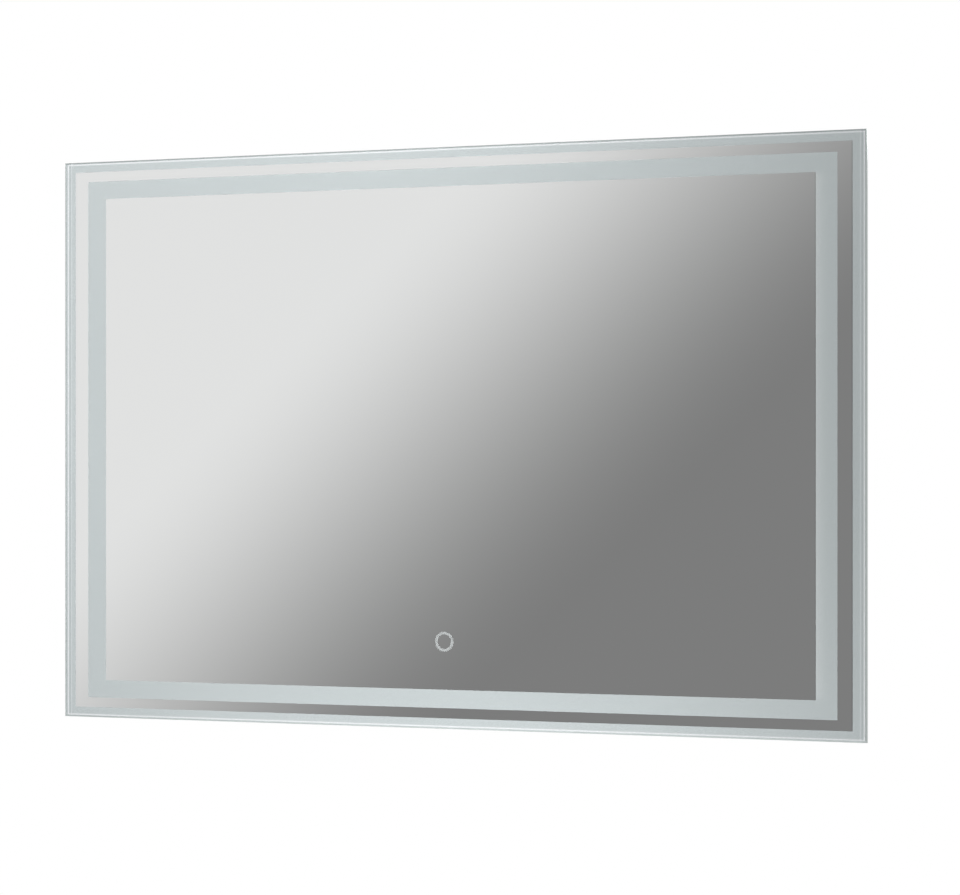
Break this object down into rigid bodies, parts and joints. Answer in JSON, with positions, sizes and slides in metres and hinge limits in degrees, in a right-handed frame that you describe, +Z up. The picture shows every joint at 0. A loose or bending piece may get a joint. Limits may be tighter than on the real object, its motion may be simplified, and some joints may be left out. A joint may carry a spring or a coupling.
{
  "type": "lighted bathroom mirror",
  "caption": "Frameless rectangular wall mirror with two sandblasted light bands round its edge, a touch ring low on the centre line, and a light frame that hooks over a wall rail.",
  "frame": {"origin": "middle of the wall rail's row of screw holes, on the face that lies on the wall", "axes": "+X to the viewer's right, +Y from the viewer into the wall, +Z up"},
  "size_m": [0.9, 0.0416, 0.6],
  "materials": {
    "glass": "clear float glass, ground edges, sandblasted bands on its back",
    "silver": "silver coat behind the glass, painted on its back",
    "aluminium": "satin anodised extrusion",
    "zinc_steel": "zinc-plated folded sheet",
    "steel": "zinc-plated screws",
    "cast_zinc": "die-cast, as cast",
    "foam_tape": "closed-cell foam with adhesive on both faces",
    "led_board": "white solder mask on an aluminium-backed board",
    "led_package": "white frames with yellow phosphor",
    "lead_sheath": "light grey soft PVC",
    "link_sheath": "brown PVC",
    "white_plastic": "moulded, fine grain",
    "black_rubber": "black moulded rubber",
    "circuit_board": "green solder mask",
    "ferrite": "dark grey ferrite with taped windings",
    "capacitor_sleeve": "dark shrink sleeve",
    "terminal_plastic": "light grey, moulded",
    "gland_plastic": "dark grey polyamide",
    "opal_plastic": "opal, lets light through",
    "brass": "plain stamping",
    "clip_plastic": "natural polyamide"
  },
  "bodies": {
    "rail": {"wall_rail": "aluminium"},
    "mirror": {"glass_pane": "glass", "silver_layer": "silver", "frame_top": "aluminium", "bond_tape_top": "foam_tape", "led_bar_top": "led_board", "frame_right": "aluminium", "bond_tape_right": "foam_tape", "led_bar_right": "led_board", "frame_bottom": "aluminium", "bond_tape_bottom": "foam_tape", "led_bar_bottom": "led_board", "frame_left": "aluminium", "bond_tape_left": "foam_tape", "led_bar_left": "led_board", "corner_key_top_left": "cast_zinc", "corner_lead_top_left": "lead_sheath", "corner_key_top_right": "cast_zinc", "corner_lead_top_right": "lead_sheath", "corner_key_bottom_left": "cast_zinc", "corner_key_bottom_right": "cast_zinc", "corner_lead_bottom_right": "lead_sheath", "led_packages": "led_package", "frame_screws": "steel", "feed_connector": "white_plastic", "hanger_left": "zinc_steel", "hanger_right": "zinc_steel", "wall_bumpers": "black_rubber", "driver_box_base": "white_plastic", "driver_box_gasket": "black_rubber", "driver_box_cover": "white_plastic", "driver_box_screws": "steel", "driver_box_tapes": "foam_tape", "driver_board": "circuit_board", "driver_transformer": "ferrite", "driver_capacitors": "capacitor_sleeve", "driver_choke": "ferrite", "output_connector": "white_plastic", "terminal_block": "terminal_plastic", "terminal_screws": "steel", "mains_links": "link_sheath", "gland_body": "gland_plastic", "gland_seal": "black_rubber", "gland_dome_nut": "gland_plastic", "gland_lock_nut": "gland_plastic", "sensor_case": "white_plastic", "sensor_tape": "foam_tape", "ring_diffuser": "opal_plastic", "sense_electrode": "brass", "sensor_board": "circuit_board", "sensor_leds": "led_package", "sensor_terminals": "white_plastic", "sensor_cover": "white_plastic", "sensor_screws": "steel", "sensor_lead": "lead_sheath", "feed_lead": "lead_sheath", "lead_clips": "clip_plastic", "outlet_grommet": "black_rubber", "feed_grommet": "black_rubber"}
  },
  "joints": [
    {"name": "mirror_lift", "type": "slide", "parent": "rail", "child": "mirror", "axis": [0, 0, 1], "range_m": [0, 0.017]}
  ]
}
